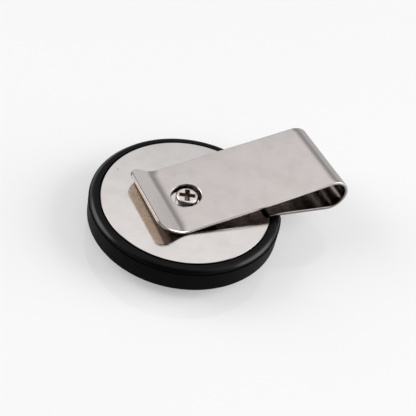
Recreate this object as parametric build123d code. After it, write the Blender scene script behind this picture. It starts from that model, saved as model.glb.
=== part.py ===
from build123d import *
import os
from math import atan2, cos, degrees, radians, sin, sqrt, tan

# A belt-clip holder for a piece of cue chalk. A black ring holds a pot magnet, which
# grips the chalk's steel cup. A polished steel plate closes the back. A spring-steel clip
# lies under the plate, comes up through a notch at its edge and folds back over it.
# One screw through plate and clip pulls the magnet up against the ring.
# Millimetres and degrees. The origin is the centre of the magnet's face, +Z runs out
# through the back plate and +X from the screw towards the nose of the clip.

# Pot magnet
pot_diameter = 32.0
pot_height = 7.0
pot_wall = 2.0
pot_base = 2.4
pot_edge_bevel = 0.5
resin_width = 1.0

# Back plate
plate_diameter = 40.0
plate_thickness = 0.8
plate_edge_bevel = 0.12
notch_depth = 4.6
notch_corner_radius = 1.3

# Black ring
rim_width = 2.3
magnet_stands_out = 2.5
bead_flat = 0.65
bead_height = 1.1
bead_step = 0.2
bead_inner_bevel = 0.2
front_edge_bevel = 0.4

# Clip strip
strip_width = 20.7
strip_thickness = 0.8
leg_tail = 9.0
tail_corner_radius = 3.0
joggle_angle = 60.0
joggle_inner_radius = 0.4
joggle_drop = 0.18
leg_fall = 7.0
clip_reach = 38.25
nose_tuck = 0.42
crown_ease = 1.05
arm_rise = 8.4
pinch_setback = 4.05
valley_radius = 6.0
lip_rise = 28.0
lip_reach = 11.25
lip_corner_radius = 3.0
driver_hole_diameter = 7.4

# Screw
screw_diameter = 3.0
head_diameter = 5.3
head_height = 1.3
head_crown_radius = 0.6
recess_span = 3.7
recess_arm = 1.0
recess_depth = 1.2
recess_taper = 12.0
recess_turn = -25.5

# Clearances between the pieces
pot_gap = 0.1
plate_gap = 0.35
bead_below_plate = 0.05
channel_gap = 0.15
gate_gap = 0.45
notch_gap = 0.95
joggle_gap = 0.1
pinch_gap = 0.05
fold_gap = 0.03
screw_hole_gap = 0.1
thread_gap = 0.03
screw_end_gap = 0.2

# Radii and heights that several pieces share
pot_radius = pot_diameter / 2
plate_radius = plate_diameter / 2
screw_radius = screw_diameter / 2
screw_hole_radius = screw_radius + screw_hole_gap
recess_radius = plate_radius + plate_gap
ring_radius = recess_radius + rim_width
web_top = pot_height + strip_thickness
plate_top = web_top + plate_thickness
half_thickness = strip_thickness / 2
notch_start = plate_radius - notch_depth
channel_width = strip_width + 2 * channel_gap
gate_width = strip_width + 2 * gate_gap
notch_width = strip_width + 2 * notch_gap
beyond = 2 * (clip_reach + lip_reach)
edge_match = 0.01


def direction(angle):
    """Unit vector in the sketch plane at an angle from its first axis."""
    return Vector(cos(radians(angle)), sin(radians(angle)))


def turned(*edges):
    """Solid of revolution about Z from the closed outline of radius and height."""
    return revolve(Plane.XZ * make_face(edges), Axis.Z)


def rim_edges(solid, radius, height):
    """The circular edges of a turned solid at one radius and height."""
    rings = solid.edges().filter_by(GeomType.CIRCLE)
    level = rings.filter_by(lambda e: abs(e.arc_center.Z - height) < edge_match)
    return level.filter_by(lambda e: abs(e.radius - radius) < edge_match)


def upright(radius, low, high):
    """Cylinder on the Z axis between two heights."""
    on_foot = (Align.CENTER, Align.CENTER, Align.MIN)
    return Pos(0, 0, low) * Cylinder(radius, high - low, align=on_foot)


def slot(start, end, width, corner, low, high):
    """Upright block from start to end along X with rounded corners seen from above."""
    outline = Pos((start + end) / 2, 0, low) * RectangleRounded(end - start, width, corner)
    return extrude(outline, high - low, dir=(0, 0, 1))


def strip_side(start, heading, steps, offset):
    """One long side of a bent strip, offset to the left of its middle line.

    Each step is a straight run, then a bend of some radius at the middle line through
    an angle, positive to the left.
    """
    way = direction(heading)
    point = start + direction(heading + 90) * offset
    edges = []
    for run, radius, angle in steps:
        if run:
            edges.append(Line(point, point + way * run))
            point = edges[-1] @ 1
        if angle:
            side = 1 if angle > 0 else -1
            edges.append(JernArc(point, way, radius - side * offset, angle))
            point = edges[-1] @ 1
            way = edges[-1] % 1
    return edges


def bent_strip(start, heading, steps):
    """Strip of the clip's thickness and width, bent along a route in the XZ plane."""
    left = strip_side(start, heading, steps, half_thickness)
    right = strip_side(start, heading, steps, -half_thickness)
    caps = [Line(left[0] @ 0, right[0] @ 0), Line(left[-1] @ 1, right[-1] @ 1)]
    section = Plane.XZ * make_face([*left, *right, *caps])
    return extrude(section, strip_width / 2, both=True)


def clip_route():
    """Runs and bends of the clip's lower leg and of its arm, and the point between them.

    The leg's middle line leaves the joggle and falls outwards. The arm's middle line rises
    from the bend that pinches the belt. Two arcs join them: a nose that touches the leg's
    line and the full reach, and a wider crown that touches the arm's line and the nose.
    """
    joggle_radius = joggle_inner_radius + half_thickness
    middle = pot_height + half_thickness
    joggle_foot = joggle_radius * tan(radians(joggle_angle / 2))
    joggle_head = joggle_radius * tan(radians((joggle_angle + leg_fall) / 2))
    rise = plate_top - joggle_drop - middle
    foot = Vector(notch_start + joggle_gap + joggle_foot, middle)
    head = foot + Vector(rise / tan(radians(joggle_angle)), rise)

    valley_centre = Vector(-pinch_setback, plate_top + pinch_gap + half_thickness + valley_radius)
    arm_start = valley_centre + direction(arm_rise - 90) * valley_radius

    # The arc that would touch both lines and the full reach by itself
    leg_way = direction(-leg_fall)
    arm_way = direction(arm_rise)
    across = arm_start - head
    to_apex = across.cross(arm_way).Z / leg_way.cross(arm_way).Z
    apex = head + leg_way * to_apex
    half_spread = sin(radians((arm_rise + leg_fall) / 2))
    reach_share = half_spread / (half_spread + cos(radians((arm_rise - leg_fall) / 2)))
    single_radius = (clip_reach - half_thickness - apex.X) * reach_share

    nose_radius = single_radius - nose_tuck
    crown_radius = nose_radius + crown_ease
    nose_offset = head + direction(90 - leg_fall) * nose_radius
    leg_length = (clip_reach - half_thickness - nose_radius - nose_offset.X) / leg_way.X
    nose_centre = nose_offset + leg_way * leg_length

    crown_offset = arm_start + direction(arm_rise - 90) * crown_radius - nose_centre
    along = crown_offset.dot(arm_way)
    arm_length = -along - sqrt(along ** 2 - crown_offset.length ** 2 + crown_ease ** 2)
    crown_centre = nose_centre + crown_offset + arm_way * arm_length
    meeting = degrees(atan2(nose_centre.Y - crown_centre.Y, nose_centre.X - crown_centre.X))

    riser = rise / sin(radians(joggle_angle)) - joggle_foot - joggle_head
    leg = [
        (leg_tail + foot.X - joggle_foot, joggle_radius, joggle_angle),
        (riser, joggle_radius, -joggle_angle - leg_fall),
        (leg_length - joggle_head, nose_radius, 90 + leg_fall - degrees(fold_gap / nose_radius)),
    ]
    lip_start = valley_centre + direction(-90 - lip_rise) * (valley_radius + half_thickness)
    arm = [
        (0, nose_radius, meeting),
        (0, crown_radius, 90 + arm_rise - meeting),
        (arm_length, valley_radius, -arm_rise - lip_rise),
        ((lip_start.X + lip_reach) / cos(radians(lip_rise)), 0, 0),
    ]
    fold = nose_centre + Vector(nose_radius, 0)
    return Vector(-leg_tail, middle), leg, fold, arm


def magnet_pot():
    """Pressed steel cup round the magnet, tapped in its base for the screw."""
    inside = pot_radius - pot_wall
    cup = upright(pot_radius, 0, pot_height) - upright(inside, 0, pot_height - pot_base)
    cup = cup - upright(screw_radius + thread_gap, 0, pot_height)
    return chamfer(rim_edges(cup, pot_radius, 0), pot_edge_bevel)


def resin_fill():
    """Cast resin between the magnet and the cup's wall."""
    outer = pot_radius - pot_wall
    depth = pot_height - pot_base
    return upright(outer, 0, depth) - upright(outer - resin_width, 0, depth)


def magnet_disc():
    """Magnet, flush with the rim of its cup."""
    return upright(pot_radius - pot_wall - resin_width, 0, pot_height - pot_base)


def holder_ring():
    """Black ring: bore for the pot, thin web under the plate, rounded bead round it."""
    bore = pot_radius + pot_gap
    bead_top = plate_top - bead_below_plate
    step = bead_top - bead_height
    land = recess_radius + bead_flat
    bead_run = ring_radius - bead_step - land
    bead_radius = (bead_run ** 2 + bead_height ** 2) / (2 * bead_height)
    bead_turn = 2 * degrees(atan2(bead_height, bead_run))
    bead = JernArc((land, bead_top), (1, 0), bead_radius, -bead_turn)
    front = (bore, magnet_stands_out)
    wall = Polyline(bead @ 1, (ring_radius, step), (ring_radius, magnet_stands_out), front)
    inside = Polyline(front, (bore, pot_height), (0, pot_height), (0, web_top))
    recess_foot = (recess_radius, web_top)
    seat = Polyline((0, web_top), recess_foot, (recess_radius, bead_top), bead @ 0)
    ring = turned(bead, *wall.edges(), *inside.edges(), *seat.edges())
    ring = chamfer(rim_edges(ring, ring_radius, magnet_stands_out), front_edge_bevel)
    ring = chamfer(rim_edges(ring, recess_radius, bead_top), bead_inner_bevel)
    tail = -leg_tail - channel_gap
    channel = slot(tail, beyond, channel_width, tail_corner_radius, pot_height, plate_top)
    gate = slot(notch_start, beyond, gate_width, notch_corner_radius, pot_height, plate_top)
    return ring - channel - gate


def back_plate():
    """Polished steel plate with the screw's hole and the notch that lets the clip through."""
    plate = upright(plate_radius, web_top, plate_top)
    plate = chamfer(rim_edges(plate, plate_radius, plate_top), plate_edge_bevel)
    plate = plate - upright(screw_hole_radius, web_top, plate_top)
    return plate - slot(notch_start, beyond, notch_width, notch_corner_radius, web_top, plate_top)


def clip_base(start, steps):
    """Lower leg of the clip: flat under the plate, joggled up through the notch, half the nose."""
    strip = bent_strip(start, 0, steps)
    plan = slot(-leg_tail, beyond, strip_width, tail_corner_radius, 0, beyond)
    return (strip & plan) - upright(screw_hole_radius, 0, plate_top)


def clip_arm(start, steps):
    """Spring arm of the clip: half the nose, the crown, the pinching bend and the lifted lip."""
    strip = bent_strip(start, 90, steps)
    plan = slot(strip.bounding_box().min.X, beyond, strip_width, lip_corner_radius, 0, beyond)
    return (strip & plan) - upright(driver_hole_diameter / 2, 0, beyond)


def clip_screw():
    """Pan-head screw with a cross recess, down to just short of the pot's inner face."""
    end = pot_height - pot_base + screw_end_gap
    top = plate_top + head_height
    head = upright(head_diameter / 2, plate_top, top)
    head = fillet(rim_edges(head, head_diameter / 2, top), head_crown_radius)
    cross = Rectangle(recess_span, recess_arm) + Rectangle(recess_arm, recess_span)
    mouth = Pos(0, 0, top) * Rot(0, 0, recess_turn) * cross
    recess = extrude(mouth, recess_depth, dir=(0, 0, -1), taper=recess_taper)
    return head + upright(screw_radius, end, plate_top) - recess


def main():
    leg_start, leg_steps, fold, arm_steps = clip_route()
    pieces = {
        "magnet_pot": magnet_pot(),
        "resin_fill": resin_fill(),
        "magnet_disc": magnet_disc(),
        "holder_ring": holder_ring(),
        "back_plate": back_plate(),
        "clip_base": clip_base(leg_start, leg_steps),
        "clip_arm": clip_arm(fold, arm_steps),
        "clip_screw": clip_screw(),
    }
    os.makedirs("parts", exist_ok=True)
    for name, piece in pieces.items():
        export_step(piece, f"parts/{name}.step")
    hinge = Vector(clip_reach, 0, fold.Y)
    print(f"The arm bends about the Y direction at x {hinge.X:.3f} and z {hinge.Z:.3f}")


main()
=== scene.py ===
"""A belt-clip holder for cue chalk, dressed over its solids and shown on a pale studio floor."""

import cmath
from math import cos, pi, radians, tan

import bmesh
import bpy
import numpy as np
from bpy.props import FloatProperty, FloatVectorProperty, PointerProperty
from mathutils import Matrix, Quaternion, Vector


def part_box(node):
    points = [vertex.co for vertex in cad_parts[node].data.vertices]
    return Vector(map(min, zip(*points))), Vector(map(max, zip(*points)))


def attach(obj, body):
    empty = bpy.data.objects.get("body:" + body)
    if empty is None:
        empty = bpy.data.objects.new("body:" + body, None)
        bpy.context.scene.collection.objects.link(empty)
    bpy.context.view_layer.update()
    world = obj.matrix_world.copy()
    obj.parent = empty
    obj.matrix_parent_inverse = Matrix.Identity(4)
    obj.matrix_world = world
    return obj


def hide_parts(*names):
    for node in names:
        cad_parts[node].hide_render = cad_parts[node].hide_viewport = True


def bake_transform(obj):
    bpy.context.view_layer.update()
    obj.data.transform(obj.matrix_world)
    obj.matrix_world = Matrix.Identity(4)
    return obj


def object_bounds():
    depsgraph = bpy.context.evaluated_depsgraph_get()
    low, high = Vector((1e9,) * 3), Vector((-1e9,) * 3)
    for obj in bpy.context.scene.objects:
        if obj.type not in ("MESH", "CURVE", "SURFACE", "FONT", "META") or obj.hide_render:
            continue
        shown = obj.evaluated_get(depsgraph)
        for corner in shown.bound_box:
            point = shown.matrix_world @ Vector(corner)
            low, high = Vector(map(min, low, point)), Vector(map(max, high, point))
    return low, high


bl_info = {
    "name": "Belt-clip chalk holder",
    "version": (1, 0, 0),
    "blender": (4, 5, 0),
    "location": "3D View > Sidebar > Chalk holder",
    "description": "Dresses the chalk holder's solids and sets a pale studio round it",
    "category": "Object",
}

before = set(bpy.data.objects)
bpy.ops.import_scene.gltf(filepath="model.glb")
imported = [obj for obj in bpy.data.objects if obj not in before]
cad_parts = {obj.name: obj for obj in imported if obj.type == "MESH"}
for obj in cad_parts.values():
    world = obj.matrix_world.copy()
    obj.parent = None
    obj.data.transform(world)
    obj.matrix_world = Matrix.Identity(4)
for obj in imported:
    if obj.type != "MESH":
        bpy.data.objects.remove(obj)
cad_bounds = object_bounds()
pot_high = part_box("magnet_pot")[1]
plate_low, plate_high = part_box("back_plate")
ring_low, ring_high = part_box("holder_ring")
base_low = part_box("clip_base")[0]
arm_low, arm_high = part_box("clip_arm")
screw_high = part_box("clip_screw")[1]


# Kinds of setting

def length(label, hint, default):
    """A length in metres."""
    return FloatProperty(name=label, description=hint, default=default, unit="LENGTH", precision=5)


def angle(label, hint, default):
    """An angle, given here in degrees and kept in radians."""
    return FloatProperty(name=label, description=hint, default=radians(default), subtype="ANGLE")


def share(label, hint, default):
    """A number from 0 to 1."""
    return FloatProperty(name=label, description=hint, default=default, min=0, max=1, subtype="FACTOR")


def colour(label, hint, default):
    """A linear colour."""
    return FloatVectorProperty(name=label, description=hint, default=default, min=0, max=1, subtype="COLOR")


def place(label, hint, default):
    """A point in the holder's frame, in metres."""
    kind = {"subtype": "TRANSLATION", "precision": 5}
    return FloatVectorProperty(name=label, description=hint, default=default, **kind)


def power(label, hint, default):
    """A lamp's power in watts."""
    return FloatProperty(name=label, description=hint, default=default, min=0, unit="POWER")


def strength(label, hint, default):
    """A brightness, where 1 shows white."""
    return FloatProperty(name=label, description=hint, default=default, min=0)


def focal(label, hint, default):
    """A focal length in millimetres."""
    return FloatProperty(name=label, description=hint, default=default, unit="CAMERA")


# Settings

class ClipSizes(bpy.types.PropertyGroup):
    """Sizes of the bent spring strip"""

    width: length("Width", "Width of the strip", arm_high.y - arm_low.y)
    thickness: length("Thickness", "Thickness of the strip", plate_low.z - pot_high.z)
    tail_corner: length("Tail corner", "Corner radius of the hidden end", 0.003)
    joggle_start: length("Joggle start", "Where the leg starts to rise through the notch", 0.0155)
    joggle_radius: length("Joggle radius", "Radius of the joggle's two bends at mid thickness", 0.0008)
    joggle_angle: angle("Joggle angle", "Slope of the joggle", 60)
    joggle_drop: length("Joggle drop", "How far the leg's middle stays below the plate's face", 0.00018)
    leg_fall: angle("Leg fall", "Slope of the leg down to the nose", 7)
    nose_radius: length("Nose radius", "Radius of the nose at mid thickness", 0.003672)
    crown_radius: length("Crown radius", "Radius of the wider bend above the nose", 0.004722)
    arm_rise: angle("Arm rise", "Slope of the arm up to the crown", 8.4)
    pinch_setback: length("Pinch setback", "How far behind the screw the arm comes lowest", 0.00405)
    pinch_gap: length("Pinch gap", "Gap between the arm and the plate", 0.000048)
    valley_radius: length("Valley radius", "Radius of the bend before the lip", 0.006)
    lip_rise: angle("Lip rise", "Slope of the lifted lip", 28.0)
    lip_corner: length("Lip corner", "Corner radius of the lip, seen from above", 0.003)
    driver_hole: length("Driver hole", "Diameter of the hole over the screw", 0.0071)
    driver_shift: length("Driver shift", "Shift of the driver hole towards the nose", -0.00025)
    screw_hole: length("Screw hole", "Diameter of the hole in the leg", 0.0032)
    edge: length("Edge", "Radius of the rounded edges", 0.0002)


class RingSizes(bpy.types.PropertyGroup):
    """Sizes of the black ring"""

    bore: length("Bore", "Radius of the bore round the pot", 0.0161)
    recess: length("Recess", "Radius of the seat round the plate", 0.02035)
    bead_flat: length("Bead flat", "Width of the flat beside the seat", 0.00065)
    bead_height: length("Bead height", "Height of the rounded bead", 0.0011)
    bead_step: length("Bead step", "Step from the bead out to the wall", 0.0002)
    front_edge: length("Front edge", "Bevel of the wall's front edge", 0.0004)
    gate: length("Gate", "Width of the gap in the bead for the clip", 0.0216)
    edge: length("Edge", "Width of the broken edges", 0.00006)


class Finishes(bpy.types.PropertyGroup):
    """Colours and gloss of the materials"""

    plate_steel: colour("Plate steel", "Polished steel of the back plate", (0.62, 0.59, 0.58))
    clip_steel: colour("Clip steel", "Polished spring steel", (0.492, 0.456, 0.443))
    # Painted light: the leg's top, near the opening under the arm, is made lighter where light reaches in
    lit_leg_steel: colour("Leg steel", "Bare steel on top of the leg", (0.70, 0.65, 0.62))
    # Painted shade: the inside of the nose, deep in the clip, is darkened
    bend_shade: colour("Bend temper", "Dark temper inside the nose", (0.22, 0.20, 0.19))
    arm_temper: colour("Arm temper", "Temper under the arm", (0.62, 0.565, 0.535))
    # Painted shade: the underside of the valley, and a slanted wedge under the lip, darkened
    valley_shade: colour("Valley temper", "Dark brown temper under the valley", (0.075, 0.058, 0.048))
    lip_temper: colour("Lip temper", "Lighter brown temper under the lip", (0.305, 0.25, 0.193))
    edge_tint: colour("Edge tint", "Tint of the clip's steel where it is seen edge-on", (0.6, 0.6, 0.6))
    steel_roughness: share("Steel roughness", "Roughness of the polished steel", 0.10)
    ring_black: colour("Ring black", "Black of the ring", (0.0009, 0.0009, 0.0013))
    wall_roughness: share("Wall roughness", "Roughness of the ring's side wall", 0.5)
    wall_gloss: share("Wall gloss", "Specular level of the ring under its gloss", 0.038)
    bead_roughness: share("Bead roughness", "Roughness of the gloss on the bead", 0.16)
    nickel: colour("Nickel", "Plating of the screw", (0.74, 0.69, 0.66))
    # The cross's colour: partly brown stain, partly painted shade of its depth
    recess: colour("Recess", "Stained metal in the screw's cross", (0.26, 0.19, 0.15))
    # Grime of real specks and chips, also used as painted shade along the plate's rim
    grime_and_shade: colour("Grime", "Dark specks on the metal", (0.05, 0.04, 0.033))
    # Painted shade: near black in the gap round the plate and in the clip's notch
    seam_shade: colour("Soot", "Dirt in the seams", (0.004, 0.004, 0.004))
    pot_black: colour("Pot black", "Coating of the magnet's cup", (0.020, 0.020, 0.022))
    magnet_grey: colour("Magnet grey", "Ground face of the magnet", (0.10, 0.10, 0.105))
    resin_black: colour("Resin black", "Cast resin round the magnet", (0.010, 0.010, 0.011))


class StudioSettings(bpy.types.PropertyGroup):
    """Floor, light and camera"""

    floor: colour("Floor", "Pale floor", (0.62, 0.62, 0.623))
    floor_glow: strength("Floor glow", "How much lighter the floor looks than the lamps make it", 0.325)
    floor_roughness: share("Floor roughness", "Roughness of the floor", 0.06)
    floor_gloss: share("Floor gloss", "Specular level of the floor", 0.3)
    floor_size: length("Floor size", "Side of the floor", 8.0)
    floor_gap: length("Floor gap", "Gap between the floor and the holder", 0.00002)
    sky: strength("Sky", "Even light from all round", 0.45)
    left_power: power("Left power", "Power of the left lamp", 10.0)
    right_power: power("Right power", "Power of the right lamp", 14.0)
    softbox_size: length("Softbox size", "Side of a lamp", 1.0)
    softbox_glow: strength("Softbox glow", "Brightness of the lamps where they are mirrored", 4.5)
    left_place: place("Left place", "Where the left lamp stands", (-0.84, 0.76, 0.56))
    right_place: place("Right place", "Where the right lamp stands", (1.00, -0.50, 0.50))
    camera_place: place("Camera place", "Where the camera stands", (-0.08079, -0.12793, 0.15174))
    camera_target: place("Camera target", "Where the camera looks", (0.00365, -0.00407, 0.0086))
    camera_roll: angle("Camera roll", "Lean of the camera about its view", 12.87)
    lens: focal("Lens", "Focal length on a 36 mm sensor", 77.48)


class HolderSettings(bpy.types.PropertyGroup):
    """All settings of the holder"""

    clip: PointerProperty(name="Clip", description="Sizes of the strip", type=ClipSizes)
    ring: PointerProperty(name="Ring", description="Sizes of the ring", type=RingSizes)
    finish: PointerProperty(name="Finish", description="Colours and gloss", type=Finishes)
    studio: PointerProperty(name="Studio", description="Floor, light and camera", type=StudioSettings)


# Surfaces

class Surface:
    """Grids of points gathered into one closed mesh.

    A grid is an array of rows by columns by three. Its quads join neighbouring points, and
    points that meet on the borders of two grids are welded into one.
    """

    weld = 1e-8

    def __init__(self):
        self.points = np.empty((0, 3))
        self.notes = np.empty((0, 3))
        self.faces = []

    def add(self, points, notes=None):
        """Adds a grid, with three numbers a point for the finish to read where it needs them."""
        rows, columns = points.shape[:2]
        index = np.arange(rows * columns).reshape(rows, columns) + len(self.points)
        corners = index[:-1, :-1], index[:-1, 1:], index[1:, 1:], index[1:, :-1]
        self.faces += np.stack(corners, -1).reshape(-1, 4).tolist()
        self.points = np.vstack([self.points, points.reshape(-1, 3)])
        noted = np.zeros_like(points) if notes is None else notes
        self.notes = np.vstack([self.notes, noted.reshape(-1, 3)])

    def cap(self, points):
        """Adds one flat face with the given corners."""
        self.faces.append((np.arange(len(points)) + len(self.points)).tolist())
        self.points = np.vstack([self.points, points])
        self.notes = np.vstack([self.notes, np.zeros_like(points)])

    def piece(self, name):
        """The welded mesh as a smooth object, faces outwards."""
        keys = np.round(self.points / self.weld).astype(np.int64)
        _, first, index = np.unique(keys, axis=0, return_index=True, return_inverse=True)
        index = index.ravel()
        mesh = bpy.data.meshes.new(name)
        mesh.from_pydata(self.points[first].tolist(), [], [index[face].tolist() for face in self.faces])
        notes = mesh.attributes.new("strip", "FLOAT_VECTOR", "POINT")
        notes.data.foreach_set("vector", self.notes[first].astype(np.float32).ravel())
        shell = bmesh.new()
        shell.from_mesh(mesh)
        bmesh.ops.recalc_face_normals(shell, faces=shell.faces)
        shell.to_mesh(mesh)
        shell.free()
        mesh.shade_smooth()
        piece = bpy.data.objects.new(name, mesh)
        bpy.context.scene.collection.objects.link(piece)
        return piece


class MiddleLine:
    """The strip's middle line seen from the side, by the distance along it from the tail.

    The heading stays the same on a run and changes evenly with the distance on a bend, so a
    few knots hold it. The points are the running sum of the heading's direction.
    """

    samples = 20001

    def __init__(self, start, steps):
        lengths = np.array([(run, radius * abs(turn)) for run, radius, turn in steps]).ravel()
        turns = np.array([(0, turn) for _, _, turn in steps]).ravel()
        self.knots = np.concatenate([[0], np.cumsum(lengths)])
        self.headings = np.concatenate([[0], np.cumsum(turns)])
        self.end = self.knots[-1]
        self.along = np.linspace(0, self.end, self.samples)
        ways = np.exp(1j * self.heading(self.along))
        moves = (ways[1:] + ways[:-1]) / 2 * np.diff(self.along)
        self.path = start + np.concatenate([[0], np.cumsum(moves)])

    def heading(self, along):
        """Direction of travel in the XZ plane, in radians from +X towards +Z."""
        return np.interp(along, self.knots, self.headings)

    def stations(self, run_step, turn_step):
        """Distances that divide every run and every bend evenly."""
        runs = np.diff(self.knots) / run_step
        turns = np.abs(np.diff(self.headings)) / turn_step
        counts = np.ceil(np.maximum(runs, turns)).astype(int) + 1
        spans = zip(self.knots[:-1], self.knots[1:], counts)
        parts = [np.linspace(low, high, count) for low, high, count in spans if high > low]
        return np.unique(np.round(np.concatenate(parts), 9))

    def nearest(self, x, after):
        """The distance, past a given one, at which the line passes a given x."""
        later = self.along > after
        return self.along[later][np.argmin(np.abs(self.path[later].real - x))]

    def place(self, along, across, inward):
        """Points in space from the distance along, across the strip and out of its middle.

        The middle line gives x and z at the distance along. The offset inwards runs along the
        left-hand normal of the heading, and the distance across is y.
        """
        x = np.interp(along, self.along, self.path.real)
        z = np.interp(along, self.along, self.path.imag)
        point = x + 1j * z + 1j * np.exp(1j * self.heading(along)) * inward
        return np.stack(np.broadcast_arrays(point.real, across, point.imag), -1)


def cross(a, b):
    """How far b turns left of a, times their lengths, for plane vectors kept as complex numbers."""
    return (a.conjugate() * b).imag


def clip_line(size):
    """The clip's middle line: tail, joggle, leg, nose, crown, arm, valley and lip.

    Points are complex, x and z. The nose touches the leg's line and the full reach, and the
    crown touches the arm's line and, from outside, the nose.
    """
    half = size.thickness / 2
    middle = pot_high.z + half
    rise = plate_high.z - size.joggle_drop - middle
    foot_cut = size.joggle_radius * tan(size.joggle_angle / 2)
    head_cut = size.joggle_radius * tan((size.joggle_angle + size.leg_fall) / 2)
    head = complex(size.joggle_start + foot_cut + rise / tan(size.joggle_angle), middle + rise)
    riser = abs(complex(rise / tan(size.joggle_angle), rise)) - foot_cut - head_cut

    leg_way = cmath.rect(1, -size.leg_fall)
    nose_lift = head + 1j * leg_way * size.nose_radius
    leg = (arm_high.x - half - size.nose_radius - nose_lift.real) / leg_way.real
    nose = nose_lift + leg_way * leg

    valley = complex(-size.pinch_setback, plate_high.z + size.pinch_gap + half + size.valley_radius)
    arm_way = cmath.rect(1, size.arm_rise)
    arm_start = valley - 1j * arm_way * size.valley_radius
    offset = arm_start - 1j * arm_way * size.crown_radius - nose
    ease = size.crown_radius - size.nose_radius
    aside = cross(offset, arm_way)
    arm = -(offset.conjugate() * arm_way).real - (ease ** 2 - aside ** 2) ** 0.5
    crown = nose + offset + arm_way * arm
    meeting = cmath.phase(nose - crown)

    lip_start = valley - 1j * cmath.rect(size.valley_radius + half, -size.lip_rise)
    lip = (lip_start.real - arm_low.x) / cmath.rect(1, size.lip_rise).real
    steps = [
        (size.joggle_start - base_low.x, size.joggle_radius, size.joggle_angle),
        (riser, size.joggle_radius, -size.joggle_angle - size.leg_fall),
        (leg - head_cut, size.nose_radius, pi / 2 + size.leg_fall + meeting),
        (0, size.crown_radius, pi / 2 + size.arm_rise - meeting),
        (arm, size.valley_radius, -size.arm_rise - size.lip_rise),
        (lip, 0, 0),
    ]
    return MiddleLine(complex(base_low.x, middle), steps)


def clip_surface(size):
    """The strip: two faces, and rounded edges round its outline and round each hole.

    A face is worked out flat, as distance along and across, and stops an edge's radius short
    of the outline. Between the holes it is a plain grid whose rows spread to its border.
    Round a hole each row runs from the hole's circle out to a rectangle as wide as the face.
    The middle line then bends it all into shape.
    """
    line = clip_line(size)
    half = size.thickness / 2
    half_width = size.width / 2 - size.edge
    tail_corner = size.tail_corner - size.edge
    lip_corner = size.lip_corner - size.edge
    first, last = size.edge, line.end - size.edge
    rows = np.linspace(-1, 1, 17)
    rings = np.linspace(0, 1, 7) ** 1.5
    margin = 1.5 * size.driver_hole / 2
    close = 0.00005
    round_off = 1 - np.cos(np.linspace(0, pi / 2, 9))

    def half_span(along):
        """Half the face's width, drawn in round the corners at both ends."""
        tail = np.clip(tail_corner - (along - first), 0, tail_corner)
        lip = np.clip(lip_corner - (last - along) * cos(size.lip_rise), 0, lip_corner)
        drawn_in = tail_corner - np.sqrt(tail_corner ** 2 - tail ** 2)
        return half_width - drawn_in - lip_corner + np.sqrt(lip_corner ** 2 - lip ** 2)

    screw_at = -base_low.x
    driver_at = line.nearest(size.driver_shift, after=line.end / 2)
    corners = [first + tail_corner * round_off, last - lip_corner / cos(size.lip_rise) * round_off]
    stations = np.sort(np.concatenate([line.stations(run_step=0.003, turn_step=radians(3)), *corners]))
    stations = stations[np.diff(stations, prepend=-1) > close]

    def columns_between(low, high):
        """Distances from low to high, with none too close to either end."""
        inside = stations[(stations > low + close) & (stations < high - close)]
        return np.concatenate([[low], inside, [high]])

    borders = [first, screw_at - margin, screw_at + margin, driver_at - margin, driver_at + margin, last]
    blocks = [columns_between(low, high) for low, high in zip(borders[:-1], borders[1:])]

    surface = Surface()

    def lay(along, across, inward):
        """Adds a grid of the strip, given flat, with its flat places as the finish's notes."""
        along, across, inward = np.broadcast_arrays(along, across, inward)
        surface.add(line.place(along, across, inward), np.stack([along, across, inward], -1))

    quarter = np.linspace(0, pi / 2, 5)
    out = size.edge * np.sin(np.concatenate([quarter, quarter[::-1]]))[:, None]
    fall = size.edge * (1 - np.cos(quarter))
    depth = np.concatenate([half - fall, fall[::-1] - half])[:, None]

    def wrap(along, across, way_along, way_across):
        """Lays the edge from one face to the other: a quarter circle out, a flat and one back."""
        lay(along + out * way_along, across + out * way_across, depth)

    for number, columns in enumerate(blocks):
        spans = half_span(columns)
        if number % 2 == 0:
            for inward in (half, -half):
                lay(columns[:, None], spans[:, None] * rows, inward)
            continue
        low, high = columns[0], columns[-1]
        centre = (low + high) / 2
        radius = (size.screw_hole if number == 1 else size.driver_hole) / 2 + size.edge
        border_along = np.concatenate([
            np.full(len(rows), low), columns[1:], np.full(len(rows) - 1, high), columns[-2::-1],
        ])
        border_across = np.concatenate([
            rows * spans[0], spans[1:], rows[-2::-1] * spans[-1], -spans[-2::-1],
        ])
        turn = np.arctan2(border_across / half_width, (border_along - centre) / margin)
        hole_along = centre + radius * np.cos(turn)
        hole_across = radius * np.sin(turn)
        for inward in (half, -half):
            along = hole_along + (border_along - hole_along) * rings[:, None]
            across = hole_across + (border_across - hole_across) * rings[:, None]
            lay(along, across, inward)
        wrap(hole_along, hole_across, -np.cos(turn), -np.sin(turn))

    columns = np.unique(np.concatenate(blocks))
    spans = half_span(columns)
    ends = np.full(len(rows) - 1, last), np.full(len(rows) - 1, first)
    outline_along = np.concatenate([columns, ends[0], columns[-2::-1], ends[1]])
    outline_across = np.concatenate([-spans, rows[1:] * spans[-1], spans[-2::-1], rows[-2::-1] * spans[0]])
    outline = outline_along + 1j * outline_across
    chord = np.roll(outline[:-1], -1) - np.roll(outline[:-1], 1)
    way = -1j * np.append(chord, chord[0]) / np.abs(np.append(chord, chord[0]))
    wrap(outline_along, outline_across, way.real, way.imag)
    return surface


def turned(profile, gap=0.0, points=193):
    """A closed profile of radius and height carried round Z, as a grid.

    With a gap, each point starts and ends where its circle meets the two planes that stand
    half the gap to either side of the XZ plane, so the profile's ends lie flat on them.
    """
    radius, height = np.array(profile + profile[:1]).T[:, :, None]
    start = np.arcsin(gap / 2 / radius)
    turn = start + (2 * pi - 2 * start) * np.linspace(0, 1, points)
    return np.stack([radius * np.cos(turn), radius * np.sin(turn), height + 0 * turn], -1)


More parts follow.
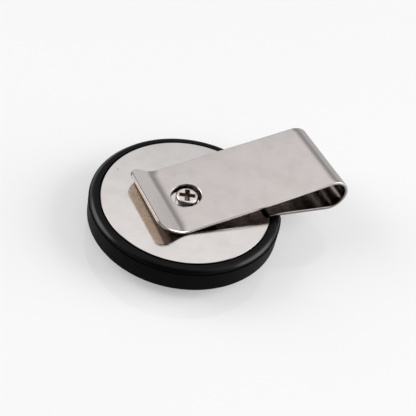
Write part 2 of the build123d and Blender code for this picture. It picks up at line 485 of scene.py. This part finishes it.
def ring_surface(size):
    """The ring: a plain wall up to the pot's top, and on it the bead, open where the clip passes.

    The bead's top runs level from the seat and then falls along a circular arc that spans
    its remaining width and its height.
    """
    outer, top, front, floor = ring_high.x, ring_high.z, ring_low.z, pot_high.z
    land = size.recess + size.bead_flat
    run = outer - size.bead_step - land
    bead_radius = (run ** 2 + size.bead_height ** 2) / (2 * size.bead_height)
    arc_points = 15
    turn = np.linspace(0, 2 * np.arctan2(size.bead_height, run), arc_points)
    bead = zip(land + bead_radius * np.sin(turn), top - bead_radius * (1 - np.cos(turn)))
    wall = [
        (size.bore, front), (outer - size.front_edge, front), (outer, front + size.front_edge),
        (outer, floor), (size.bore, floor),
    ]
    step = top - size.bead_height
    seat = [(size.bore, floor), (outer, floor), (outer, step)]
    rim = [(size.recess, top), (size.recess, plate_low.z), (size.bore, plate_low.z)]
    collar = seat + list(bead)[::-1] + rim
    surface = Surface()
    surface.add(turned(wall))
    bead_grid = turned(collar, size.gate)
    surface.add(bead_grid)
    surface.cap(bead_grid[:-1, 0])
    surface.cap(bead_grid[:-1, -1])
    return surface


# Finishes
# Each pair below gives where a change over a surface starts and where it is complete, in metres

# Away from the Z axis
# A band along the plate's rim, painted darker as shade
PLATE_RIM = plate_high.y - 0.00022, plate_high.y - 0.00014
# The plate's outermost edge, painted near black as shade in the gap
PLATE_SEAM = plate_high.y - 0.00009, plate_high.y - 0.00004
BEAD_ROUND = ring_high.x - 0.0016, ring_high.x - 0.0008
# The screw head's rim, painted darker as shade
SCREW_RIM = 0.0022, 0.0025
CROSS_END = 0.0019, 0.0020

# Up the ring, and down and across the arms of the screw's cross
BEAD_FOOT = ring_high.z - 0.0009, ring_high.z - 0.0006
CROSS_DEPTH = 0.00003, 0.00015
CROSS_ARM = 0.00058, 0.00070

# Out of the strip's middle and across it
INNER_SIDE = -0.0001, 0.0002
OUTER_EDGE = -0.00039, -0.00030
FLANK = 0.0101, 0.0103

# Along the strip from its tail
# The joggle in the notch, painted near black as shade
NOTCH_START = 0.0242, 0.0246
NOTCH_END = 0.0262, 0.0270
# Where the painted light on the leg's top gives way to painted shade in the nose
LEG_LIT_END = 0.0335, 0.0350
LEG_END = 0.042, 0.045
ARM_START = 0.055, 0.065
# Where the painted shade inside the nose ends
BEND_SHADE_END = 0.0645, 0.0665
# Where the painted shade under the valley starts
VALLEY_SHADE_START = 0.0835, 0.0885
# Where the painted light on the lip starts
LIP_START = 0.0955, 0.0970
LIP_BROWN_START = 0.0995, 0.1001
# The lip's end face, painted darker as shade
LIP_TIP = 0.1015, 0.1017

# Up the room that is mirrored, as the height of a direction of length 1
ROOM_SHADE = 0.12, 0.46
WALL_FOOT = 0.48, 0.68
WALL_MIDDLE = 0.62, 0.74
WALL_TOP = 0.74, 0.83
CEILING = 0.82, 0.97

# Towards the room's lit side
LIT_SIDE = -0.45, 0.60

# Angle that lays the screw's cross along X and Y
CROSS_TURN = radians(25.5)


class Value:
    """A shader socket in a Python expression. Each operator adds one Math node."""

    def __init__(self, finish, socket):
        self.finish = finish
        self.socket = socket

    def __add__(self, other):
        return self.finish.maths("ADD", self, other)

    def __radd__(self, other):
        return self.finish.maths("ADD", other, self)

    def __sub__(self, other):
        return self.finish.maths("SUBTRACT", self, other)

    def __rsub__(self, other):
        return self.finish.maths("SUBTRACT", other, self)

    def __mul__(self, other):
        return self.finish.maths("MULTIPLY", self, other)

    def __rmul__(self, other):
        return self.finish.maths("MULTIPLY", other, self)

    def __gt__(self, other):
        return self.finish.maths("GREATER_THAN", self, other)


class Finish:
    """A node tree under construction, for a material or the world."""

    def __init__(self, tree):
        self.tree = tree
        tree.nodes.clear()

    def node(self, kind, settings=None, sockets=None, output=0):
        """One node: its settings first, then the values or links of its sockets."""
        made = self.tree.nodes.new(kind)
        for name, value in (settings or {}).items():
            setattr(made, name, value)
        for name, value in (sockets or {}).items():
            self.feed(made.inputs[name], value)
        return Value(self, made.outputs[output]) if made.outputs else made

    def feed(self, socket, value):
        """Links a value to a socket, or sets it there."""
        if isinstance(value, Value):
            self.tree.links.new(value.socket, socket)
        elif socket.type == "RGBA":
            socket.default_value = (*value[:3], 1)
        else:
            socket.default_value = value

    def maths(self, operation, first, second):
        """One Math node."""
        return self.node("ShaderNodeMath", {"operation": operation}, {0: first, 1: second})

    def vectors(self, operation, first, second=(0, 0, 0), output="Vector"):
        """One Vector Math node."""
        sockets = {0: first, 1: second}
        return self.node("ShaderNodeVectorMath", {"operation": operation}, sockets, output)

    def mix(self, first, second, factor):
        """A colour between two colours."""
        sockets = {0: factor, 6: first, 7: second}
        return self.node("ShaderNodeMix", {"data_type": "RGBA"}, sockets, output=2)

    def ramp(self, value, low, high):
        """0 below low, 1 above high and a smooth step between."""
        sockets = {"Value": value, "From Min": low, "From Max": high}
        return self.node("ShaderNodeMapRange", {"interpolation_type": "SMOOTHSTEP"}, sockets)

    def position(self):
        """The point on the piece, in the holder's frame."""
        return self.node("ShaderNodeTexCoord", output="Object")

    def rotated(self, point, turn):
        """The point turned about Z."""
        return self.node("ShaderNodeMapping", None, {"Vector": point, "Rotation": (0, 0, turn)})

    def parts(self, point):
        """The three coordinates of a point."""
        split = self.node("ShaderNodeSeparateXYZ", None, {0: point}).socket.node
        return [Value(self, socket) for socket in split.outputs]

    def away(self, point):
        """How far a point stands from the Z axis."""
        flat = self.vectors("MULTIPLY", point, (1, 1, 0))
        return self.vectors("LENGTH", flat, output="Value")

    def beside(self, value, low, high):
        """0 near the middle of a band and 1 beyond it on both sides."""
        return self.ramp(value * value, low ** 2, high ** 2)

    def noise(self, point, scale, detail=3.0, roughness=0.55):
        """Soft noise from 0 to 1."""
        sockets = {"Vector": point, "Scale": scale, "Detail": detail, "Roughness": roughness}
        return self.node("ShaderNodeTexNoise", None, sockets)

    def specks(self, point, scale, size, kept):
        """Small round spots in some of the cells of a random pattern."""
        sockets = {"Vector": point, "Scale": scale}
        distance = self.node("ShaderNodeTexVoronoi", None, sockets, output="Distance")
        cell = self.node("ShaderNodeTexVoronoi", None, sockets, output="Color")
        chosen = self.parts(cell)[0] > 1 - kept
        return (1 - self.ramp(distance, size * 0.6, size)) * chosen

    def hairlines(self, point, turn, spacing, reach, kept):
        """Fine scratches that lie one way: noise drawn out along them, and only its peaks kept."""
        stretch = 1 / reach, 1 / spacing, 1 / spacing
        drawn = self.vectors("MULTIPLY", self.rotated(point, turn), stretch)
        return self.ramp(self.noise(drawn, scale=1.0, detail=2.0), 1 - kept, 1.08 - kept)

    def patch(self, way, place, low=0.88, high=0.98):
        """A soft round patch of the sky in the direction of a place."""
        facing = self.vectors("DOT_PRODUCT", way, Vector(place).normalized(), output="Value")
        return self.ramp(facing, low, high)

    def sight(self):
        """Two masks: where the camera looks straight on, and where by way of a mirror or glass."""
        rays = self.node("ShaderNodeLightPath").socket.node.outputs
        mirrored = Value(self, rays["Is Glossy Ray"]) + Value(self, rays["Is Transmission Ray"])
        return Value(self, rays["Is Camera Ray"]), mirrored

    def bump(self, height, depth, strength):
        """A normal that follows small heights."""
        sockets = {"Height": height, "Distance": depth, "Strength": strength}
        return self.node("ShaderNodeBump", None, sockets)


def material(name, paint, **constants):
    """A material whose paint function gives what varies over the surface, by socket name."""
    made = bpy.data.materials.new(name)
    made.use_nodes = True
    finish = Finish(made.node_tree)
    values = {**constants, **paint(finish)}
    sockets = {socket.replace("_", " "): value for socket, value in values.items()}
    shader = finish.node("ShaderNodeBsdfPrincipled", None, sockets)
    finish.node("ShaderNodeOutputMaterial", None, {"Surface": shader})
    return made


def toned(tint, factor):
    """A colour made darker or lighter."""
    return [factor * part for part in tint]


def steel_marks(finish, point):
    """Wear of polished steel: cloudy smears, two sets of hairlines and small dark specks."""
    smears = finish.ramp(finish.noise(point, scale=160, detail=5.0, roughness=0.62), 0.35, 0.75)
    fine = finish.hairlines(point, turn=0.5, spacing=0.00009, reach=0.009, kept=0.36)
    steep = finish.hairlines(point, turn=-0.9, spacing=0.00012, reach=0.006, kept=0.33)
    specks = finish.specks(point, scale=260, size=0.06, kept=0.35)
    return smears, fine + steep, specks


def plate_steel(settings):
    """Polished steel sheet, slightly cloudy, with hairlines, a few specks and painted shade along its rim.
    """
    def paint(finish):
        point = finish.position()
        away = finish.away(point)
        rim = finish.ramp(away, *PLATE_RIM)
        # Painted shade: the plate's outermost edge is near black, beside the gap to the ring
        gap_shade = finish.ramp(away, *PLATE_SEAM)
        smears, lines, specks = steel_marks(finish, point)
        worn = finish.mix(settings.plate_steel, toned(settings.plate_steel, 0.93), smears)
        # Real specks, and painted shade along the rim
        worn = finish.mix(worn, settings.grime_and_shade, specks * 0.6 + rim * 0.62)
        return {
            "Base_Color": finish.mix(worn, settings.seam_shade, gap_shade),
            "Roughness": settings.steel_roughness + 0.06 * smears + 0.10 * lines,
            "Normal": finish.bump(lines, depth=0.00002, strength=0.12),
        }
    return material("Polished plate steel", paint, Metallic=1.0)


def clip_steel(settings):
    """Polished spring steel, drawn along the strip. Its inner side is tempered under the arm and the lip,
    with painted light on the leg and painted shade in the nose and the valley; painted light, highlights
    and shade also sit on the lip, the edges and the notch.
    """
    def paint(finish):
        strip = finish.node("ShaderNodeAttribute", {"attribute_name": "strip"}, output="Vector")
        along, across, inward = finish.parts(strip)
        smears, lines, specks = steel_marks(finish, strip)
        drawn = finish.hairlines(strip, turn=0.0, spacing=0.00006, reach=0.03, kept=0.42)
        inner = finish.ramp(inward, *INNER_SIDE)
        edge = finish.ramp(inward, *OUTER_EDGE)
        flank = finish.beside(across, *FLANK)
        # Painted shade: the leg's rounded edges are darker, which dims their highlight
        leg_edge_shade = flank * (1 - finish.ramp(along, *LEG_END))
        # Painted highlight: the arm's rounded edges are made lighter
        arm_edge_highlight = flank * finish.ramp(along, *ARM_START)
        # Painted shade: the joggle, where the leg rises through the notch, is near black
        notch = finish.ramp(along, *NOTCH_START) * (1 - finish.ramp(along, *NOTCH_END)) * inner

        # The inner side: painted light on the leg, painted shade in the nose, temper under the arm, painted
        # shade under the valley, temper under the lip
        temper_light_and_shade = finish.mix(settings.lit_leg_steel, settings.bend_shade, finish.ramp(along, *LEG_LIT_END))
        temper_light_and_shade = finish.mix(temper_light_and_shade, settings.arm_temper, finish.ramp(along, *BEND_SHADE_END))
        temper_light_and_shade = finish.mix(temper_light_and_shade, settings.valley_shade, finish.ramp(along, *VALLEY_SHADE_START))
        # The painted shade under the valley ends on a slant across the strip, where the lip's temper begins
        slanted = along + 0.03 * across
        temper_light_and_shade = finish.mix(temper_light_and_shade, settings.lip_temper, finish.ramp(slanted, *LIP_BROWN_START))

        steel = settings.clip_steel
        worn = finish.mix(steel, toned(steel, 0.92), smears)
        # Painted light: the lip is made lighter
        worn = finish.mix(worn, toned(steel, 1.16), finish.ramp(along, *LIP_START))
        worn = finish.mix(worn, toned(steel, 1.6), arm_edge_highlight)
        # Painted shade: the lip's end face is darker, which dims its highlight
        worn = finish.mix(worn, toned(steel, 0.5), finish.ramp(along, *LIP_TIP))
        sided = finish.mix(worn, temper_light_and_shade, inner)
        sided = finish.mix(sided, toned(steel, 0.5), leg_edge_shade)
        sided = finish.mix(sided, settings.grime_and_shade, specks * 0.5)
        polish = settings.steel_roughness + 0.05 * smears + 0.08 * lines + 0.05 * drawn
        return {
            "Base_Color": finish.mix(sided, settings.seam_shade, notch),
            "Roughness": polish + 0.2 * edge * (1 - inner) + 0.07 * inner + 0.25 * leg_edge_shade,
            "Normal": finish.bump((lines + drawn) * (1 - 0.7 * inner), depth=0.00002, strength=0.10),
        }
    return material("Polished clip steel", paint, Metallic=1.0, Specular_Tint=settings.edge_tint)


def screw_nickel(settings):
    """Bright nickel plating, with painted shade on its rim and a brown cross that is partly stain and
    partly painted shade.
    """
    def paint(finish):
        point = finish.position()
        away = finish.away(point)
        depth = finish.ramp(screw_high.z - finish.parts(point)[2], *CROSS_DEPTH)
        along, across, _ = finish.parts(finish.rotated(point, CROSS_TURN))
        clear = finish.beside(along, *CROSS_ARM) * finish.beside(across, *CROSS_ARM)
        # The cross: brown stain, and painted shade in its depth
        stain_and_shade = (1 - (1 - depth) * clear) * (1 - finish.ramp(away, *CROSS_END))
        wear = finish.noise(point, scale=900, detail=4.0)
        bright = finish.mix(settings.nickel, toned(settings.nickel, 0.85), wear)
        # Painted shade: the head's rim is darker, which dims its highlight
        bright = finish.mix(bright, toned(settings.nickel, 0.45), finish.ramp(away, *SCREW_RIM))
        return {
            "Base_Color": finish.mix(bright, settings.recess, stain_and_shade),
            "Roughness": 0.24 + 0.12 * wear + 0.2 * stain_and_shade,
        }
    return material("Screw nickel", paint, Metallic=1.0)


def ring_black(settings):
    """Black moulding: a matte wall with a fine grain, and a bead that is glossiest on its round."""
    def paint(finish):
        point = finish.position()
        rounded = finish.ramp(finish.away(point), *BEAD_ROUND)
        bead = finish.ramp(finish.parts(point)[2], *BEAD_FOOT)
        grain = finish.noise(point, scale=5000, detail=2.0)
        wear = finish.ramp(finish.noise(point, scale=220, detail=5.0), 0.4, 0.75)
        worn_wall = wear * (1 - bead)
        return {
            "Base_Color": finish.mix(settings.ring_black, toned(settings.ring_black, 1.7), worn_wall),
            "Roughness": settings.wall_roughness + 0.10 * wear,
            "Coat_Weight": (0.14 + 0.27 * rounded) * bead * (1 - 0.2 * wear),
            "Normal": finish.bump(grain * (1 - bead), depth=0.00002, strength=0.15),
        }
    gloss = {"Specular_IOR_Level": settings.wall_gloss, "Coat_Roughness": settings.bead_roughness}
    return material("Ring black", paint, **gloss)


def pot_black(settings):
    """Black coating with a slight orange peel over pressed steel."""
    def paint(finish):
        point = finish.position()
        peel = finish.noise(point, scale=1800, detail=2.0)
        worn = finish.ramp(finish.noise(point, scale=300, detail=5.0), 0.5, 0.8)
        return {
            "Base_Color": finish.mix(settings.pot_black, toned(settings.pot_black, 2.0), worn),
            "Roughness": 0.32 + 0.2 * worn,
            "Normal": finish.bump(peel, depth=0.00003, strength=0.2),
        }
    return material("Pot coating", paint)


def magnet_grey(settings):
    """Ground dark magnet: grinding lines one way and small chips."""
    def paint(finish):
        point = finish.position()
        lines = finish.hairlines(point, turn=0.3, spacing=0.00012, reach=0.012, kept=0.5)
        chips = finish.specks(point, scale=420, size=0.09, kept=0.2)
        ground = finish.mix(settings.magnet_grey, toned(settings.magnet_grey, 0.6), lines)
        return {
            "Base_Color": finish.mix(ground, settings.grime_and_shade, chips),
            "Roughness": 0.38 + 0.2 * lines,
            "Normal": finish.bump(lines - chips, depth=0.00004, strength=0.3),
        }
    return material("Magnet", paint, Metallic=0.7)


def resin_black(settings):
    """Cast resin with a few open bubbles."""
    def paint(finish):
        point = finish.position()
        bubbles = finish.specks(point, scale=900, size=0.16, kept=0.12)
        flow = finish.noise(point, scale=500, detail=3.0)
        return {
            "Base_Color": finish.mix(settings.resin_black, toned(settings.resin_black, 2.2), flow),
            "Roughness": 0.16 + 0.18 * flow,
            "Normal": finish.bump(flow * 0.3 - bubbles, depth=0.00006, strength=0.4),
        }
    return material("Resin", paint)


def dress(piece, finish):
    """Gives a piece one material."""
    piece.data.materials.clear()
    piece.data.materials.append(finish)


# Operators

def settings_of(context):
    """All settings of the holder in this scene."""
    return context.scene.chalk_holder


class BuildRing(bpy.types.Operator):
    """Turn the black ring with its bead and its gap for the clip"""

    bl_idname = "chalk_holder.build_ring"
    bl_label = "Black ring"

    def execute(self, context):
        settings = settings_of(context)
        ring = ring_surface(settings.ring).piece("ring_body")
        bevel = ring.modifiers.new("Broken edges", "BEVEL")
        bevel.width = settings.ring.edge
        bevel.segments = 2
        bevel.limit_method = "ANGLE"
        bevel.angle_limit = radians(25)
        bevel.harden_normals = True
        dress(ring, ring_black(settings.finish))
        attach(ring, "holder")
        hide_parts("holder_ring")
        return {"FINISHED"}


class BuildClip(bpy.types.Operator):
    """Bend the spring clip out of one strip"""

    bl_idname = "chalk_holder.build_clip"
    bl_label = "Spring clip"

    # A plane between the leg and the arm: a point on it, its slope and a half depth
    split_back = Vector((-0.0035, 0, 0.0082))
    split_slope = 0.05
    split_band = 0.00035

    def execute(self, context):
        settings = settings_of(context)
        clip = clip_surface(settings.clip).piece("clip_strip")
        clip.modifiers.new("Flat faces", "WEIGHTED_NORMAL").weight = 100
        dress(clip, clip_steel(settings.finish))
        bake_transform(clip)
        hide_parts("clip_base", "clip_arm")
        return {"FINISHED"}


class DressPlateAndScrew(bpy.types.Operator):
    """Finish the back plate and the screw"""

    bl_idname = "chalk_holder.dress_plate"
    bl_label = "Back plate and screw"

    def execute(self, context):
        finish = settings_of(context).finish
        dress(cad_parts["back_plate"], plate_steel(finish))
        dress(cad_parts["clip_screw"], screw_nickel(finish))
        return {"FINISHED"}


class DressMagnet(bpy.types.Operator):
    """Finish the pot magnet: its cup, its resin and the magnet itself"""

    bl_idname = "chalk_holder.dress_magnet"
    bl_label = "Pot magnet"

    def execute(self, context):
        finish = settings_of(context).finish
        dress(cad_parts["magnet_pot"], pot_black(finish))
        dress(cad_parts["resin_fill"], resin_black(finish))
        dress(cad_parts["magnet_disc"], magnet_grey(finish))
        return {"FINISHED"}


class SetStage(bpy.types.Operator):
    """Lay the pale floor, hang the lamps and set up the camera"""

    bl_idname = "chalk_holder.set_stage"
    bl_label = "Studio"

    def execute(self, context):
        studio = settings_of(context).studio
        self.lay_floor(context, studio)
        self.paint_sky(context, studio)
        middle = (cad_bounds[0] + cad_bounds[1]) / 2
        self.hang(context, "Left softbox", studio.left_place, studio.left_power, middle, studio)
        self.hang(context, "Right softbox", studio.right_place, studio.right_power, middle, studio)
        self.set_camera(context, studio)
        context.scene.view_settings.view_transform = "Standard"
        return {"FINISHED"}

    def lay_floor(self, context, studio):
        """A square floor just under the holder. Its glow is only for the eye and lights nothing."""
        half = studio.floor_size / 2
        corners = np.array([(-half, -half), (half, -half), (half, half), (-half, half)])
        mesh = bpy.data.meshes.new("floor")
        mesh.from_pydata(np.pad(corners, ((0, 0), (0, 1))).tolist(), [], [(0, 1, 2, 3)])
        floor = bpy.data.objects.new("floor", mesh)
        floor.location.z = cad_bounds[0].z - studio.floor_gap
        context.scene.collection.objects.link(floor)

        def paint(finish):
            cloud = finish.noise(finish.position(), scale=6.0)
            seen, mirrored = finish.sight()
            return {
                "Base_Color": finish.mix(studio.floor, toned(studio.floor, 0.98), cloud),
                "Emission_Color": finish.mix((0, 0, 0), (1, 1, 1), seen + mirrored),
            }

        constants = {
            "Roughness": studio.floor_roughness,
            "Specular_IOR_Level": studio.floor_gloss,
            "Emission_Strength": studio.floor_glow,
        }
        dress(floor, material("Pale floor", paint, **constants))

    def paint_sky(self, context, studio):
        """Even light, white behind the floor, and a room for the steel and the gloss to mirror.

        The room is pale at the horizon, has a shaded band over it, then a bright wall and a
        dimmer ceiling. It is dimmer towards the camera's side and dark round the camera.
        """
        world = bpy.data.worlds.new("Studio")
        world.use_nodes = True
        context.scene.world = world
        finish = Finish(world.node_tree)
        seen, mirrored = finish.sight()
        way = finish.node("ShaderNodeTexCoord", output="Generated")
        across, back, up = finish.parts(way)
        shade = 0.45 * finish.ramp(up, *ROOM_SHADE)
        wall = 0.43 * finish.ramp(up, *WALL_FOOT) + 0.27 * finish.ramp(up, *WALL_MIDDLE)
        wall = wall + 0.21 * finish.ramp(up, *WALL_TOP)
        ceiling = 0.3 * finish.ramp(up, *CEILING)
        lit = 0.45 + 0.55 * finish.ramp(0.9 * across + 0.45 * back, *LIT_SIDE)
        hood = 0.85 * finish.patch(way, studio.camera_place, low=0.74, high=0.92)
        boxes = 1.15 * finish.patch(way, studio.left_place) + 1.1 * finish.patch(way, studio.right_place)
        room = (0.96 - shade + wall - ceiling) * lit * (1 - hood) + studio.softbox_glow * boxes
        level = studio.sky + (1 - studio.sky) * seen + (room - studio.sky) * mirrored
        background = finish.node("ShaderNodeBackground", None, {"Color": (1, 1, 1), "Strength": level})
        finish.node("ShaderNodeOutputWorld", None, {"Surface": background})

    def hang(self, context, name, place, power, target, studio):
        """A square lamp that faces the target. Mirrors see it as a soft patch of the sky instead."""
        lamp = bpy.data.lights.new(name, "AREA")
        lamp.energy = power
        lamp.size = studio.softbox_size
        hung = bpy.data.objects.new(name, lamp)
        hung.location = place
        hung.rotation_euler = (target - hung.location).to_track_quat("-Z", "Y").to_euler()
        hung.visible_camera = False
        hung.visible_glossy = False
        context.scene.collection.objects.link(hung)

    def set_camera(self, context, studio):
        """The camera at its place, turned to its target and leaned about its view."""
        lens = bpy.data.cameras.new("Camera")
        lens.lens = studio.lens
        lens.sensor_width = 36.0
        lens.clip_start = 0.01
        camera = bpy.data.objects.new("Camera", lens)
        camera.location = studio.camera_place
        view = Vector(studio.camera_target) - Vector(studio.camera_place)
        camera.rotation_mode = "QUATERNION"
        roll = Quaternion((0, 0, 1), studio.camera_roll)
        camera.rotation_quaternion = view.to_track_quat("-Z", "Y") @ roll
        context.scene.collection.objects.link(camera)
        context.scene.camera = camera


class HolderPanel(bpy.types.Panel):
    """Lists the steps that build the holder, and their settings"""

    bl_idname = "VIEW3D_PT_chalk_holder"
    bl_label = "Chalk holder"
    bl_space_type = "VIEW_3D"
    bl_region_type = "UI"
    bl_category = "Chalk holder"

    def draw(self, context):
        settings = settings_of(context)
        for operator in STEPS:
            self.layout.operator(operator.bl_idname)
        for group in (settings.clip, settings.ring, settings.finish, settings.studio):
            box = self.layout.box()
            for name in group.__annotations__:
                box.prop(group, name)


STEPS = (BuildRing, BuildClip, DressPlateAndScrew, DressMagnet, SetStage)
CLASSES = (ClipSizes, RingSizes, Finishes, StudioSettings, HolderSettings, *STEPS, HolderPanel)


def register():
    for cls in CLASSES:
        bpy.utils.register_class(cls)
    kind = {"name": "Chalk holder", "description": "All settings of the holder"}
    bpy.types.Scene.chalk_holder = PointerProperty(type=HolderSettings, **kind)


def unregister():
    del bpy.types.Scene.chalk_holder
    for cls in reversed(CLASSES):
        bpy.utils.unregister_class(cls)


def main():
    """Builds every piece and the stage."""
    register()
    bpy.ops.chalk_holder.build_ring()
    bpy.ops.chalk_holder.build_clip()
    bpy.ops.chalk_holder.dress_plate()
    bpy.ops.chalk_holder.dress_magnet()
    bpy.ops.chalk_holder.set_stage()


if __name__ == "__main__":
    main()
